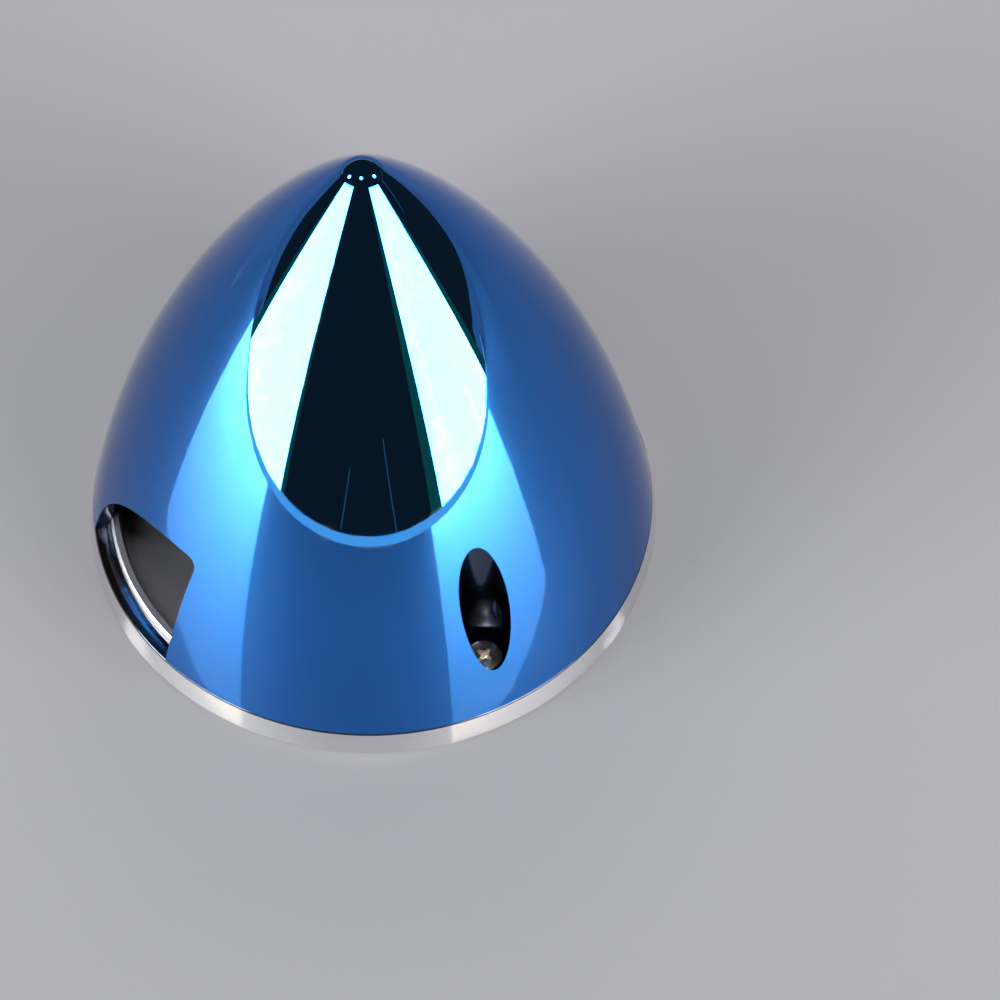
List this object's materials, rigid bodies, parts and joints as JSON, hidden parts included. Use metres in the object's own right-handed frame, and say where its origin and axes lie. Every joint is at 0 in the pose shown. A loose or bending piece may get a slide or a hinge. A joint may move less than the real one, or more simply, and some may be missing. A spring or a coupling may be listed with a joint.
{
  "type": "propeller spinner",
  "caption": "Turned aluminium propeller spinner: blue ogive cone with blade cut-outs and sunk screws, on a polished back plate with a central shaft bore.",
  "frame": {"origin": "centre of the back plate's flat rear face, on the propeller shaft's axis, where the spinner stands", "axes": "+Z along the shaft towards the nose, the blades leave along +X and -X, and the cone screws stand along +Y and -Y"},
  "size_m": [0.0634, 0.0634, 0.0604],
  "materials": {
    "blue_anodised": "mirror-polished and anodised blue",
    "polished_aluminium": "turned and polished",
    "screw_steel": "bright plated"
  },
  "bodies": {
    "root": {"backplate": "polished_aluminium", "cone": "blue_anodised", "cone_screw_front": "screw_steel", "cone_screw_rear": "screw_steel"}
  },
  "joints": []
}
